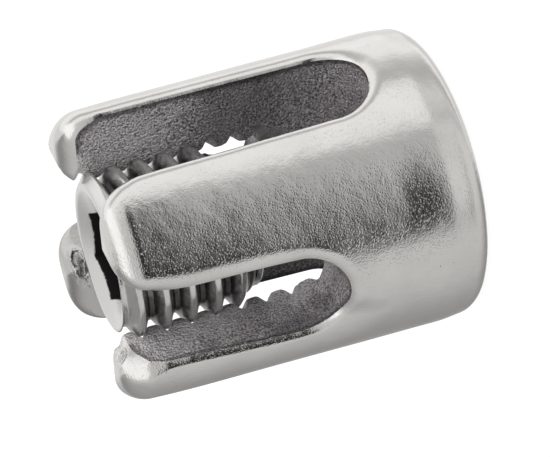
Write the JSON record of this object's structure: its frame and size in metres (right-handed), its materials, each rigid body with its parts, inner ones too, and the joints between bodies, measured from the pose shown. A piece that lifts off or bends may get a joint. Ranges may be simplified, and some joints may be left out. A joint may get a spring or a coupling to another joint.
{
  "type": "wire rope cross clamp",
  "caption": "Castellated cylindrical cross clamp for two crossing wire ropes: two rope slots of different depth, closed base and a hexagon socket set screw in the open end.",
  "frame": {"origin": "centre of the closed base's flat outer face", "axes": "+Z along the body axis from the closed base to the open castellated end where the set screw enters, +X along the deep rope slot, +Y along the shallow rope slot"},
  "size_m": [0.0172, 0.0172, 0.0212],
  "materials": {
    "cast_stainless": "tumbled and polished casting, fine pits, rough grey slot walls",
    "screw_stainless": "satin, turned and rolled",
    "pad_stainless": "satin, turned"
  },
  "bodies": {
    "clamp_body": {"clamp_body": "cast_stainless"},
    "pressure_pad": {"pressure_pad": "pad_stainless"},
    "set_screw": {"set_screw": "screw_stainless"}
  },
  "joints": [
    {"name": "screw_travel", "type": "slide", "parent": "clamp_body", "child": "pressure_pad", "axis": [0, 0, 1], "range_m": [-0.00375, 0.0075]},
    {"name": "screw_turn", "type": "hinge", "parent": "pressure_pad", "child": "set_screw", "pos_m": [0, 0, 0.0164], "axis": [0, 0, 1], "range_deg": [-900.2, 1800.2]}
  ],
  "couplings": [
    {"joint": "screw_turn", "follows": "screw_travel", "rad_per_m": 4188.8}
  ]
}
